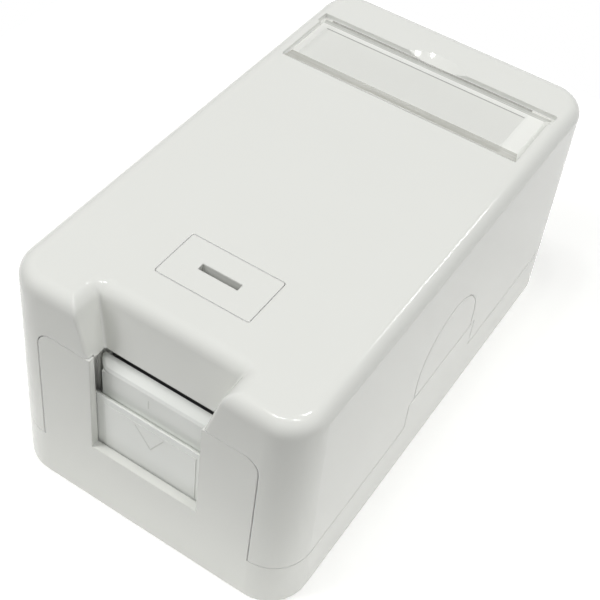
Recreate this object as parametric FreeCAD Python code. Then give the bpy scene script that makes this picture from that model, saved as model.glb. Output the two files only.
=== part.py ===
import FreeCAD, Part
import math
import os

# Surface mount jack box for one keystone jack, in millimetres.
# Origin: middle of the footprint on the mounting surface. +Z is away from the surface, +Y runs
# from the jack window to the rear wall, and the box is symmetric about X = 0 but for its springs
# and contacts. Depths named "..._y" are measured from the front of the footprint.

# --- Outside -------------------------------------------------------------------------------
WIDTH = 40.0
LENGTH = 71.0
HEIGHT = 32.8
CORNER_R = 5.3          # upright corners, in plan, at the foot
DRAFT = 0.68            # how far each wall leans in over the full height
TOP_R = 1.9             # rounding of the top edge
FOOT_R = 0.4
WALL = 1.8
TOP_WALL = 2.0
FLOOR = 2.0
SPLIT_Z = 7.5           # height of the parting line between base and cover
SEAM = 0.12
FRONT = -LENGTH / 2

# --- Front panel of the base, with the jack window --------------------------------------------
PANEL_X = 14.6
PANEL_TOP = 25.7
PANEL_R = 2.0
PANEL_BACK_Y = 1.35
WINDOW_X = 7.4
SILL_Z = 10.6
FLANGE_Y0 = 2.5
FLANGE_Y1 = 3.3
FLANGE_TOP = 24.6

# --- Finger notch in the cover, above the window ------------------------------------------------
NOTCH_LOW = 25.4
NOTCH_LOW_X = 7.5
NOTCH_TOP_X = 9.55
NOTCH_LOW_Y = 3.33
NOTCH_TOP_Y = 4.9
NOTCH_CREASE_R = 0.3
NOTCH_EDGE_R = 0.4
LINER = 1.5             # wall round the notch

# --- Label bay and icon insert in the cover's top ------------------------------------------------
LABEL_X = 17.1
LABEL_Y0 = 51.35
LABEL_Y1 = 62.9
LABEL_DEPTH = 1.3
LABEL_EAR_X = 17.5      # the bay is a little wider at its rear corners
LABEL_EAR_Y = 60.85
LABEL_RIM = 1.5         # bevel along the window's front edge
LABEL_REAR_RIM = 1.9
LABEL_END_RIM = 0.45
LABEL_DROP = 0.7
CARD_X = 15.2
CARD_T = 0.25
LABEL_AIR = 0.04        # play between the window and the card
SCOOP_Y = 58.3
SCOOP_EDGE_R = 6.4
SCOOP_SPHERE_R = 12.0
ICON_X = 6.1
ICON_Y0 = 10.15
ICON_Y1 = 17.15
ICON_T = 1.05
ICON_R = 0.3
ICON_CLEAR = 0.08
SLOT_X = 2.6
SLOT_Y = 1.0
SLOT_DRAFT = 0.25        # lean of the slot's rear wall

# --- Cable knock-outs in both sides --------------------------------------------------------------
TAB_X = 8.6             # half width of the base's tab, along the box
TAB_TOP = 12.0
ARCH_R = 7.6
ARCH_Z = 14.3
GROOVE = 0.14
GROOVE_DEPTH = 0.2

# --- Shutter: two leaves that slide down behind the panel ----------------------------------------
LEAF_Y = 1.4            # front of the lower leaf
LEAF_T = 0.75
LEAF_X = 8.6
LEAF_TOP = 19.4
LEAF_PAD_X = 6.3        # raised finger pad on the lower leaf
LEAF_PAD_TOP = 18.4
LEAF_PAD_T = 0.06
LEAF_LOW = 9.8
TRAY_T = 1.8            # lower leaf with the rails behind it
RAIL_X = 7.35
UPPER_Y = 2.25          # front of the upper leaf
UPPER_T = 0.9
UPPER_X = 7.2
UPPER_LOW = 16.4
HEAD_FRONT_Z = 23.4
HEAD_BACK_Z = 24.2
HEAD_LOW = 22.6
HEAD_BACK_Y = 3.7
HEAD_X = 8.1
HEAD_CORNER_R = 1.9     # the head's front corners, seen from above
HEAD_BEVEL = 0.25
FOOT_TOP = 10.9

# --- Cradle for the jack -------------------------------------------------------------------------
GUIDE_IN_X = 8.75
GUIDE_OUT_X = 9.9
GUIDE_TOP = 25.0
RETAINER_X = 8.3
RETAINER_Y0 = 3.35
CRADLE_X = 7.4
CRADLE_OUT_X = 8.9
CRADLE_Y1 = 14.5
BAR_Y0 = 10.4
BAR_Y1 = 12.4
LOW_BAR_TOP = 9.9
TOP_BAR_LOW = 26.6
TOP_BAR_HIGH = 28.6
CRADLE_REAR_Y = 7.3     # behind the notch's liner the cradle may reach higher

# --- Jack ------------------------------------------------------------------------------------------
JACK_X = 7.25
JACK_LOW = 10.0
JACK_HIGH = 25.2
JACK_Y0 = 4.3
JACK_Y1 = 20.3
PORT_X = 5.9
PORT_LOW = 13.2
PORT_HIGH = 20.1
PORT_Y1 = 19.2
CONTACTS = 8
PITCH = 1.02
WIRE_W = 0.46
WIRE_T = 0.32
BOARD_Z0 = 10.4
BOARD_Z1 = 11.6
BOARD_X = 6.9
BOARD_Y0 = 13.4
BOARD_Y1 = 33.8
BLOCK_Y0 = 20.7
BLOCK_Y1 = 33.6
BLOCK_X0 = 1.0
BLOCK_X1 = 6.9
BLOCK_TOP = 20.4
IDC_PITCH = 3.0
IDC_SLOT = 0.6
CAP_TOP = 24.2
ROOF_Z = 23.7
CARRIER_LOW = 11.65
PIN_Y = 18.2
NOSE_Y = 7.6
BEND_R = 0.6
BEND_STEPS = 4          # flats that make up the bend
TIP_DEG = 28
TIP_L = 8.2
IDC_X = 4.0
IDC_SLOT_LOW = 14.0

# --- Fixing ----------------------------------------------------------------------------------------
SCREW_X = 13.0
SCREW_Y0 = 16.0
SCREW_Y1 = 56.0
SCREW_R = 1.8
SCREW_HEAD_R = 3.5
ENTRY_X = 6.0           # rear cable entry through the floor
ENTRY_Y = 58.0
ENTRY_L = 9.0

# --- Fit of the cover on the base ---------------------------------------------------------------
LIP_X = 16.8
LIP_T = 1.0
SNAP_Y = 18.0           # from the middle, both ways
SNAP_L = 4.0
SNAP_Z = 8.8
RIB_X = 15.0
RIBS_Y = (28.0, 40.0)


def V(x, y, z):
    return FreeCAD.Vector(x, y, z)


def box(x0, x1, y0, y1, z0, z1):
    """Block between two corners, with y measured from the front of the footprint."""
    return Part.makeBox(x1 - x0, y1 - y0, z1 - z0, V(x0, FRONT + y0, z0))


def both_sides(shape):
    """The shape and its mirror image about X = 0, as one."""
    return shape.fuse(shape.mirror(V(0, 0, 0), V(1, 0, 0)))


def fuse_all(shapes):
    return shapes[0].multiFuse(shapes[1:]).removeSplitter()


def rounded_rectangle(half_x, half_y, radius, z, centre_y=0.0):
    edges = []
    corners = [(1, -1), (1, 1), (-1, 1), (-1, -1)]
    ends = []
    for number, (sx, sy) in enumerate(corners):
        cx = sx * (half_x - radius)
        cy = centre_y + sy * (half_y - radius)
        start = math.radians(-90 + 90 * number)
        arc = []
        for step in (0, 45, 90):
            a = start + math.radians(step)
            arc.append(V(cx + radius * math.cos(a), cy + radius * math.sin(a), z))
        ends.append(arc)
    for number, arc in enumerate(ends):
        edges.append(Part.Arc(*arc).toShape())
        edges.append(Part.makeLine(arc[2], ends[(number + 1) % 4][0]))
    return Part.Wire(edges)


def taper(z):
    return DRAFT * z / HEIGHT


def tapered_body(inset, z0, z1):
    """The box's outer skin between two heights, moved in by inset."""
    sections = []
    for z in (z0, z1):
        step = taper(z) + inset
        radius = max(CORNER_R - step, 0.4)
        sections.append(rounded_rectangle(WIDTH / 2 - step, LENGTH / 2 - step, radius, z))
    return Part.makeLoft(sections, True, True)


def outline(points):
    """Closed wire through 3-D points."""
    return Part.makePolygon(points + [points[0]])


def profile_yz(points, x0, x1):
    """Side profile, a list of (y, z) from the front, pulled from x0 to x1."""
    wire = outline([V(x0, FRONT + y, z) for y, z in points])
    return Part.Face(wire).extrude(V(x1 - x0, 0, 0))


def profile_xz(points, y0, y1):
    """Front profile, a list of (x, z), pulled from y0 to y1, measured from the front."""
    wire = outline([V(x, FRONT + y0, z) for x, z in points])
    return Part.Face(wire).extrude(V(0, y1 - y0, 0))


def edges_where(shape, test):
    return [edge for edge in shape.Edges if test(edge)]


def upright_edges(shape):
    return edges_where(shape, lambda edge: abs(edge.tangentAt(edge.FirstParameter).z) > 0.9)


def lies_at(edge, axis, value):
    return all(abs(getattr(v.Point, axis) - value) < 1e-4 for v in edge.Vertexes)


# --- Cover -----------------------------------------------------------------------------------------
def notch_solid(grow, z_low, z_high):
    """Finger notch: narrow and shallow at the window, wider and deeper at the top."""
    def at(z):
        part = (z - NOTCH_LOW) / (HEIGHT - NOTCH_LOW)
        half = NOTCH_LOW_X + part * (NOTCH_TOP_X - NOTCH_LOW_X) + grow
        return half, NOTCH_LOW_Y + part * (NOTCH_TOP_Y - NOTCH_LOW_Y) + grow
    low_x, low_y = at(z_low)
    high_x, high_y = at(z_high)
    across = profile_xz([(-low_x, z_low), (low_x, z_low), (high_x, z_high), (-high_x, z_high)], -2, 9)
    return across.common(profile_yz([(-2, z_low), (low_y, z_low), (high_y, z_high), (-2, z_high)], -15, 15))


def panel_prism(grow, depth, z_low):
    """Outline of the base's front panel, with rounded top corners, through to a depth."""
    x = PANEL_X + grow
    top = PANEL_TOP + grow
    r = PANEL_R + grow
    s = r * (1 - math.sqrt(0.5))
    y = FRONT - 1
    edges = [
        Part.makeLine(V(-x, y, z_low), V(x, y, z_low)),
        Part.makeLine(V(x, y, z_low), V(x, y, top - r)),
        Part.Arc(V(x, y, top - r), V(x - s, y, top - s), V(x - r, y, top)).toShape(),
        Part.makeLine(V(x - r, y, top), V(-x + r, y, top)),
        Part.Arc(V(-x + r, y, top), V(-x + s, y, top - s), V(-x, y, top - r)).toShape(),
        Part.makeLine(V(-x, y, top - r), V(-x, y, z_low)),
    ]
    return Part.Face(Part.Wire(edges)).extrude(V(0, depth + 1, 0))


def arch_wire(radius, x):
    """Knock-out outline on a side wall: upright sides under a half round."""
    low = V(x, -radius, TAB_TOP)
    high = V(x, radius, TAB_TOP)
    return Part.Wire([
        Part.makeLine(high, low),
        Part.makeLine(low, V(x, -radius, ARCH_Z)),
        Part.Arc(V(x, -radius, ARCH_Z), V(x, 0, ARCH_Z + radius), V(x, radius, ARCH_Z)).toShape(),
        Part.makeLine(V(x, radius, ARCH_Z), high),
    ])


def arch_prism(radius, x0, x1):
    return Part.Face(arch_wire(radius, x0)).extrude(V(x1 - x0, 0, 0))


def notch_walls(shape):
    """The notch's four near-upright edges: two at the front and two at the back."""
    def tall(edge):
        ends = [v.Point for v in edge.Vertexes]
        if len(ends) < 2 or abs(ends[0].z - ends[1].z) < 3:
            return False
        return max(abs(p.x) for p in ends) < NOTCH_TOP_X + 1 and max(p.y for p in ends) < FRONT + 6
    edges = edges_where(shape, tall)
    front = [e for e in edges if min(v.Point.y for v in e.Vertexes) < FRONT + 1]
    return front, [e for e in edges if min(v.Point.y for v in e.Vertexes) > FRONT + 2]


def cover_skin():
    """Outside of the cover: leaning walls, finger notch and rounded top edge."""
    skin = tapered_body(0, SPLIT_Z, HEIGHT).cut(notch_solid(0, NOTCH_LOW, HEIGHT + 1))
    skin = skin.makeFillet(NOTCH_CREASE_R, notch_walls(skin)[1])
    skin = skin.makeFillet(TOP_R, edges_where(skin, lambda e: lies_at(e, "z", HEIGHT)))
    return skin.makeFillet(NOTCH_EDGE_R, notch_walls(skin)[0])


def label_bay():
    """Bay for the label: a shallow pocket, wider at its rear corners, and a thumb scoop behind."""
    low = HEIGHT - LABEL_DEPTH
    bay = box(-LABEL_X, LABEL_X, LABEL_Y0, LABEL_Y1, low, HEIGHT + 1)
    ears = box(-LABEL_EAR_X, LABEL_EAR_X, LABEL_EAR_Y, LABEL_Y1, low, HEIGHT + 1)
    rise = math.sqrt(SCOOP_SPHERE_R ** 2 - SCOOP_EDGE_R ** 2)
    ball = Part.makeSphere(SCOOP_SPHERE_R, V(0, FRONT + SCOOP_Y, HEIGHT + rise))
    behind = box(-LABEL_X, LABEL_X, LABEL_Y1 - 0.1, LENGTH, low - 1, HEIGHT + 1)
    return bay.fuse(ears).fuse(ball.common(behind))


def icon_bay(grow):
    """Pocket for the icon insert, with a narrower opening right through for its skirt."""
    plate = box(-ICON_X - grow, ICON_X + grow, ICON_Y0 - grow, ICON_Y1 + grow, HEIGHT - ICON_T, HEIGHT + 1)
    plate = plate.makeFillet(ICON_R + grow, upright_edges(plate))
    skirt = box(-ICON_X + 1.2 - grow, ICON_X - 1.2 + grow, ICON_Y0 + 1.2 - grow, ICON_Y1 - 1.2 + grow,
                HEIGHT - TOP_WALL - 1, HEIGHT)
    return plate.fuse(skirt)


def side_knock_outs():
    """What the arch in each side takes away: a thin groove outside and a thinner web inside."""
    outside = WIDTH / 2
    groove_in = outside - taper(ARCH_Z + ARCH_R) - GROOVE_DEPTH
    groove = arch_prism(ARCH_R, groove_in, outside + 1)
    groove = groove.cut(arch_prism(ARCH_R - GROOVE, groove_in - 1, outside + 2))
    web = arch_prism(ARCH_R - 0.9, outside - WALL - 1.2, outside - taper(ARCH_Z) - 1.05)
    return both_sides(groove.fuse(web))


def side_tab(grow):
    """The base's raised tab under each knock-out, as a block across one side wall."""
    height = TAB_TOP + grow - SPLIT_Z + 1
    return Part.makeBox(4, 2 * (TAB_X + grow), height, V(WIDTH / 2 - 3, -TAB_X - grow, SPLIT_Z - 1))


def cover():
    cavity = tapered_body(WALL, SPLIT_Z - 1, HEIGHT - TOP_WALL)
    cavity = cavity.cut(notch_solid(LINER, NOTCH_LOW, HEIGHT))
    shell = cover_skin().cut(cavity)
    shell = shell.cut(panel_prism(SEAM, PANEL_BACK_Y + 0.15, SPLIT_Z - 1))
    through = panel_prism(SEAM, WALL + 1, SPLIT_Z - 1)
    shell = shell.cut(through.common(box(-WIDTH, WIDTH, -5, 5, 0, NOTCH_LOW)))
    x, low = LABEL_X + 1.2, HEIGHT - LABEL_DEPTH - 1.2
    shell = shell.fuse(box(-x, x, LABEL_Y0 - 1, LABEL_Y1 + 3, low, HEIGHT - LABEL_DEPTH))
    shell = shell.cut(label_bay()).cut(icon_bay(ICON_CLEAR))
    shell = shell.cut(side_knock_outs()).cut(both_sides(side_tab(SEAM)))
    middle = LENGTH / 2 + SNAP_Y
    snap = box(LIP_X + LIP_T - 0.05, LIP_X + LIP_T + 0.5, middle - SNAP_L, middle + SNAP_L,
               SNAP_Z - 0.5, SNAP_Z + 0.5)
    snap = snap.fuse(snap.mirror(V(0, 0, 0), V(0, 1, 0)))
    shell = shell.cut(both_sides(snap))
    # stiffening ribs across the roof
    for y in RIBS_Y:
        shell = shell.fuse(box(-RIB_X, RIB_X, y, y + 1.0, HEIGHT - TOP_WALL - 1.6, HEIGHT - TOP_WALL + 0.1))
    return shell.removeSplitter()


def label_window():
    """Clear strip over the label: flat on top, bevelled along both long edges, with rear ears."""
    gap = 0.1
    low = HEIGHT - LABEL_DEPTH + CARD_T + LABEL_AIR
    top = HEIGHT - 0.05
    y0, y1 = LABEL_Y0 + gap, LABEL_Y1 - gap
    side = [(y0, low), (y1, low), (y1, top - LABEL_DROP), (y1 - LABEL_REAR_RIM, top),
            (y0 + LABEL_RIM, top), (y0, top - LABEL_DROP)]
    strip = profile_yz(side, -LABEL_X + gap, LABEL_X - gap)
    ends = edges_where(strip, lambda e: lies_at(e, "z", top) and lies_at(e, "x", e.Vertexes[0].Point.x))
    strip = strip.makeChamfer(LABEL_END_RIM, ends)
    ears = box(-LABEL_EAR_X + gap, LABEL_EAR_X - gap, LABEL_EAR_Y + gap, y1, low, low + 0.4)
    return strip.fuse(ears).removeSplitter()


def label_card():
    low = HEIGHT - LABEL_DEPTH
    return box(-CARD_X - 1.0, CARD_X - 1.0, LABEL_Y0 + 1.9, LABEL_Y1 - 1.5, low, low + CARD_T)


def icon_insert():
    """Plain insert: a plate with a pry slot, on a hollow skirt that presses into the cover."""
    plate = box(-ICON_X, ICON_X, ICON_Y0, ICON_Y1, HEIGHT - ICON_T, HEIGHT)
    plate = plate.makeFillet(ICON_R, upright_edges(plate))
    x, y0, y1 = ICON_X - 1.2, ICON_Y0 + 1.2, ICON_Y1 - 1.2
    skirt = box(-x, x, y0, y1, HEIGHT - TOP_WALL - 0.3, HEIGHT - ICON_T)
    skirt = skirt.cut(box(-x + 0.8, x - 0.8, y0 + 0.8, y1 - 0.8, 0, HEIGHT))
    near, far = (ICON_Y0 + ICON_Y1 - SLOT_Y) / 2, (ICON_Y0 + ICON_Y1 + SLOT_Y) / 2
    slot = profile_yz([(near, HEIGHT - ICON_T - 1), (far - SLOT_DRAFT, HEIGHT - ICON_T - 1),
                       (far - SLOT_DRAFT, HEIGHT - ICON_T), (far, HEIGHT), (far, HEIGHT + 1),
                       (near, HEIGHT + 1)], -SLOT_X, SLOT_X)
    return plate.fuse(skirt).cut(slot).removeSplitter()


# --- Base -----------------------------------------------------------------------------------------
def base_skin():
    """Tray with a shadow groove along its rim, the window panel and the two side tabs."""
    tray = tapered_body(0, 0, SPLIT_Z)
    tray = tray.makeFillet(FOOT_R, edges_where(tray, lambda e: lies_at(e, "z", 0)))
    rim = tapered_body(-1, SPLIT_Z - SEAM, SPLIT_Z + 1).cut(tapered_body(0.8, SPLIT_Z - 1, SPLIT_Z + 2))
    tray = tray.cut(rim)
    panel = tapered_body(0, SPLIT_Z - 1, HEIGHT).common(panel_prism(0, PANEL_BACK_Y, SPLIT_Z - 1))
    tabs = tapered_body(0, SPLIT_Z - 1, HEIGHT).common(both_sides(side_tab(0)))
    tabs = tabs.cut(tapered_body(WALL, 0, HEIGHT))
    return fuse_all([tray, panel, tabs])


def base_lip():
    """Locating lip inside the cover's walls, with a snap bead on each long side."""
    top = SPLIT_Z + 2.2
    ring = Part.makeBox(2 * (LIP_X + LIP_T), LENGTH - 2 * (WALL + 0.7), top - FLOOR,
                        V(-LIP_X - LIP_T, FRONT + WALL + 0.7, FLOOR))
    ring = ring.makeFillet(CORNER_R - WALL - 0.8, upright_edges(ring))
    inner_y = WALL + 0.7 + LIP_T
    hole = Part.makeBox(2 * LIP_X, LENGTH - 2 * inner_y, top, V(-LIP_X, FRONT + inner_y, FLOOR))
    hole = hole.makeFillet(CORNER_R - WALL - 0.8 - LIP_T, upright_edges(hole))
    ring = ring.cut(hole).cut(box(-PANEL_X, PANEL_X, 0, 8, 0, HEIGHT))
    middle = LENGTH / 2 + SNAP_Y
    bead = profile_xz([(LIP_X + LIP_T - 0.1, SNAP_Z - 0.3), (LIP_X + LIP_T + 0.12, SNAP_Z),
                       (LIP_X + LIP_T - 0.1, SNAP_Z + 0.3)], middle - SNAP_L + 0.3, middle + SNAP_L - 0.3)
    beads = both_sides(bead.fuse(bead.mirror(V(0, 0, 0), V(0, 1, 0))))
    return ring.fuse(beads)


def panel_flanges():
    """Ribs behind the panel's sides that stiffen it and back the joint with the cover."""
    web = box(PANEL_X - 1.2, PANEL_X - 0.2, PANEL_BACK_Y - 0.2, FLANGE_Y1, FLOOR - 0.5, FLANGE_TOP)
    flange = box(PANEL_X - 1.2, PANEL_X + 0.8, FLANGE_Y0, FLANGE_Y1, FLOOR - 0.5, FLANGE_TOP)
    return both_sides(web.fuse(flange))


def shutter_guides():
    """Upright channels behind the panel that hold the shutter's leaves by their edges."""
    wall = box(GUIDE_IN_X, GUIDE_OUT_X, PANEL_BACK_Y - 0.3, JACK_Y0 + 0.4, FLOOR - 0.5, GUIDE_TOP)
    retainer = box(RETAINER_X, GUIDE_OUT_X, RETAINER_Y0, JACK_Y0 + 0.4, FLOOR - 0.5, GUIDE_TOP)
    return both_sides(wall.fuse(retainer))


def jack_cradle():
    """Two cheeks beside the jack, and the two bars that its hook and its latch hold."""
    cheek = box(CRADLE_X, CRADLE_OUT_X, JACK_Y0, CRADLE_Y1, FLOOR - 0.5, GUIDE_TOP)
    cheek = cheek.fuse(box(CRADLE_X, CRADLE_OUT_X, CRADLE_REAR_Y, CRADLE_Y1, GUIDE_TOP - 1, TOP_BAR_HIGH))
    brace = profile_xz([(CRADLE_OUT_X - 0.2, FLOOR - 0.5), (CRADLE_OUT_X + 4, FLOOR - 0.5),
                        (CRADLE_OUT_X - 0.2, FLOOR + 12)], 11, 12.2)
    low_bar = box(-CRADLE_OUT_X, CRADLE_OUT_X, BAR_Y0, BAR_Y1, FLOOR - 0.5, LOW_BAR_TOP)
    top_bar = box(-CRADLE_OUT_X, CRADLE_OUT_X, BAR_Y0, BAR_Y1, TOP_BAR_LOW, TOP_BAR_HIGH)
    shelf = both_sides(box(CRADLE_X - 2.4, CRADLE_X + 0.2, 26, 27.5, FLOOR - 0.5, LOW_BAR_TOP))
    return both_sides(cheek.fuse(brace)).fuse(low_bar).fuse(top_bar).fuse(shelf)


def screw_places():
    return [V(x, FRONT + y, 0) for x in (-SCREW_X, SCREW_X) for y in (SCREW_Y0, SCREW_Y1)]


def cable_tie_bridge():
    """Low bridge behind the jack, to tie the cable down to."""
    bridge = box(-5, 5, 42, 45, FLOOR - 0.5, FLOOR + 6)
    return bridge.cut(box(-3, 3, 41, 46, FLOOR - 0.5, FLOOR + 4.2))


def base():
    skin = base_skin()
    skin = skin.cut(tapered_body(WALL, FLOOR, SPLIT_Z + 1))
    skin = skin.cut(box(-PANEL_X, PANEL_X, PANEL_BACK_Y, 5, FLOOR, HEIGHT))
    inside = [base_lip(), panel_flanges(), shutter_guides(), jack_cradle(), cable_tie_bridge()]
    solid = fuse_all([skin] + inside)
    solid = solid.cut(box(-WINDOW_X, WINDOW_X, -1, PANEL_BACK_Y + 0.05, SILL_Z, HEIGHT))
    for place in screw_places():
        solid = solid.cut(Part.makeCylinder(SCREW_R, FLOOR + 2, place - V(0, 0, 1)))
        sink = SCREW_HEAD_R - SCREW_R
        solid = solid.cut(Part.makeCone(SCREW_R, SCREW_HEAD_R, sink, place + V(0, 0, FLOOR - 0.9)))
    entry = Part.makeBox(2 * ENTRY_X, ENTRY_L, 2 * FLOOR, V(-ENTRY_X, FRONT + ENTRY_Y, -1))
    entry = entry.makeFillet(3.0, upright_edges(entry))
    solid = solid.cut(entry)
    return solid.removeSplitter()


# --- Shutter ----------------------------------------------------------------------------------------
def lower_shutter():
    """Lower leaf: a plate with a raised finger pad, a rail behind each edge and a foot below."""
    face = LEAF_Y + LEAF_PAD_T
    back = LEAF_Y + TRAY_T
    plate = box(-LEAF_X, LEAF_X, face, LEAF_Y + LEAF_T, LEAF_LOW, LEAF_TOP)
    # the top edge is bevelled at the back, so that the upper leaf slides down behind it
    plate = plate.makeChamfer(0.5, edges_where(plate, lambda e: lies_at(e, "z", LEAF_TOP)
                                               and lies_at(e, "y", FRONT + LEAF_Y + LEAF_T)))
    pad = box(-LEAF_PAD_X, LEAF_PAD_X, LEAF_Y, face + 0.1, FOOT_TOP, LEAF_PAD_TOP)
    rail = box(RAIL_X, LEAF_X, LEAF_Y + LEAF_T - 0.1, back, LEAF_LOW, UPPER_LOW + 1.1)
    run = box(RAIL_X - 1, RAIL_X + 0.7, UPPER_Y + 0.25, back + 1, FOOT_TOP, UPPER_LOW + 0.7)
    foot = box(-LEAF_X, LEAF_X, face, back, LEAF_LOW, FOOT_TOP)
    return fuse_all([plate, pad, both_sides(rail.cut(run)), foot])


def upper_shutter():
    """Upper leaf: a narrow shank behind the lower leaf, under a head with a sloping finger ledge."""
    back = UPPER_Y + UPPER_T
    shank = box(-UPPER_X, UPPER_X, UPPER_Y, back, UPPER_LOW, HEAD_LOW + 0.2)
    wedge = profile_yz([(UPPER_Y, HEAD_LOW), (HEAD_BACK_Y, HEAD_LOW), (HEAD_BACK_Y, HEAD_BACK_Z),
                        (UPPER_Y, HEAD_FRONT_Z)], -HEAD_X, HEAD_X)
    block = box(-HEAD_X, HEAD_X, UPPER_Y, UPPER_Y + 3 * HEAD_CORNER_R, HEAD_LOW, HEAD_BACK_Z)
    block = block.makeFillet(HEAD_CORNER_R, edges_where(block, lambda e: lies_at(e, "y", FRONT + UPPER_Y)
                                                        and abs(abs(e.CenterOfMass.x) - HEAD_X) < 0.01))
    head = wedge.common(block)
    head = head.makeChamfer(HEAD_BEVEL, edges_where(head, lambda e: lies_at(e, "z", HEAD_FRONT_Z)))
    under_ears = both_sides(box(UPPER_X, HEAD_X + 1, 0, 5, HEAD_LOW - 1, HEAD_LOW + 0.4))
    catch = box(-UPPER_X - 0.55, UPPER_X + 0.55, UPPER_Y + 0.3, back, UPPER_LOW, UPPER_LOW + 0.6)
    return fuse_all([shank, head.cut(under_ears), catch])


# --- Jack --------------------------------------------------------------------------------------------
def jack_housing():
    """Front housing: modular port, lower hook, upper latch and a bay for the board behind."""
    body = box(-JACK_X, JACK_X, JACK_Y0, JACK_Y1, JACK_LOW, JACK_HIGH)
    port = box(-PORT_X, PORT_X, JACK_Y0 - 1, PORT_Y1, CARRIER_LOW, PORT_HIGH)
    key = box(-3.15, 3.15, JACK_Y0 - 1, 13, PORT_HIGH - 1, 22.0)
    key = key.fuse(box(-1.7, 1.7, JACK_Y0 - 1, 11, 21, 22.9))
    sill = box(-PORT_X, PORT_X, JACK_Y0, JACK_Y0 + 0.8, CARRIER_LOW - 0.5, PORT_LOW)
    board_bay = box(-BOARD_X - 0.15, BOARD_X + 0.15, BOARD_Y0 - 0.2, JACK_Y1 + 1, JACK_LOW - 1, CARRIER_LOW)
    body = body.cut(port.cut(sill)).cut(key).cut(board_bay)
    body = body.cut(box(-PORT_X, PORT_X, PORT_Y1 - 1, JACK_Y1 + 1, CARRIER_LOW, PORT_LOW + 0.2))
    # the roof is lowered behind the front wall so that the latch can bend down
    body = body.cut(box(-JACK_X - 1, JACK_X + 1, 7.0, JACK_Y1 + 1, ROOF_Z, HEIGHT))
    latch = profile_yz([(6.6, ROOF_Z), (7.6, ROOF_Z + 0.9), (14.6, ROOF_Z + 1.2), (14.6, TOP_BAR_LOW - 0.2),
                        (BAR_Y1 + 0.1, TOP_BAR_LOW + 1.1), (BAR_Y1 + 0.1, TOP_BAR_LOW - 0.3),
                        (7.6, TOP_BAR_LOW - 0.7), (6.6, JACK_HIGH)], -3.0, 3.0)
    hook = profile_yz([(BAR_Y1 + 0.1, JACK_LOW + 0.5), (BAR_Y1 + 0.1, 8.6), (13.1, 8.6),
                       (BOARD_Y0 - 0.25, 9.4),
                       (BOARD_Y0 - 0.25, JACK_LOW + 0.5)], -6.0, 6.0)
    return fuse_all([body, latch, hook])


def contact_carrier():
    """Insert under the port: a floor with a groove for each wire and a comb for their free ends."""
    floor = box(-PORT_X + 0.05, PORT_X - 0.05, JACK_Y0 + 2.2, JACK_Y1 - 0.1, CARRIER_LOW + 0.02, PORT_LOW)
    comb = box(-PORT_X + 0.05, PORT_X - 0.05, 15.2, 16.8, PORT_LOW - 0.2, PORT_HIGH - 0.05)
    carrier = floor.fuse(comb)
    for x in contact_places():
        half = WIRE_W / 2 + 0.06
        carrier = carrier.cut(box(x - half, x + half, JACK_Y0, JACK_Y1 - 1.6, PORT_LOW - 0.4, PORT_LOW + 1))
        carrier = carrier.cut(box(x - half, x + half, 14, 16.0, PORT_LOW, PORT_HIGH - 0.8))
        carrier = carrier.cut(box(x - half, x + half, PIN_Y - 0.4, PIN_Y + 0.4, 0, PORT_LOW + 1))
    return carrier


def contact_places():
    return [(number - (CONTACTS - 1) / 2) * PITCH for number in range(CONTACTS)]


def contact_wire(x):
    """Spring wire: a pin up from the board, a run forward, a bend, and a free end rising rearward."""
    z = PORT_LOW - 0.2
    rise = math.radians(TIP_DEG)
    bend = []
    for step in range(BEND_STEPS + 1):
        angle = math.pi / 2 - (math.pi - rise) * step / BEND_STEPS
        bend.append(V(0, FRONT + NOSE_Y - BEND_R * math.cos(angle), z + BEND_R * (1 - math.sin(angle))))
    tip = bend[-1] + V(0, TIP_L * math.cos(rise), TIP_L * math.sin(rise))
    pin_low = V(0, FRONT + PIN_Y, BOARD_Z0 - 0.3)
    pin_top = V(0, FRONT + PIN_Y, z)
    path = Part.makePolygon([pin_low, pin_top] + bend + [tip])
    start = pin_low + V(x, 0, 0)
    section = outline([start + V(-WIRE_W / 2, -WIRE_T / 2, 0), start + V(WIRE_W / 2, -WIRE_T / 2, 0),
                       start + V(WIRE_W / 2, WIRE_T / 2, 0), start + V(-WIRE_W / 2, WIRE_T / 2, 0)])
    path.translate(V(x, 0, 0))
    return path.makePipeShell([section], True, False, 1)


def circuit_board():
    board = box(-BOARD_X, BOARD_X, BOARD_Y0, BOARD_Y1, BOARD_Z0, BOARD_Z1)
    holes = [V(x, FRONT + PIN_Y, 0) for x in contact_places()]
    for place in holes:
        corner = place - V(WIRE_W / 2 + 0.05, WIRE_T / 2 + 0.05, 0)
        board = board.cut(Part.makeBox(WIRE_W + 0.1, WIRE_T + 0.1, 20, corner))
    for side in (-1, 1):
        for y in idc_places():
            board = board.cut(box(side * IDC_X - 0.3, side * IDC_X + 0.3, y - 0.55, y + 0.55, 0, 20))
    return board


def idc_places():
    """Depths of the four wire slots on each side of the jack."""
    middle = (BLOCK_Y0 + BLOCK_Y1) / 2
    return [middle + (number - 1.5) * IDC_PITCH for number in range(4)]


def termination_block():
    """Right-hand wiring block: four towers split by wire slots, each holding one cutting contact."""
    block = box(BLOCK_X0, BLOCK_X1, BLOCK_Y0, BLOCK_Y1, BOARD_Z1, BLOCK_TOP)
    for y in idc_places():
        block = block.cut(box(0, 10, y - IDC_SLOT / 2, y + IDC_SLOT / 2, IDC_SLOT_LOW, HEIGHT))
        block = block.cut(box(IDC_X - 0.25, IDC_X + 0.25, y - 1.1, y + 1.1, 0, HEIGHT))
    return block


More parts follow.
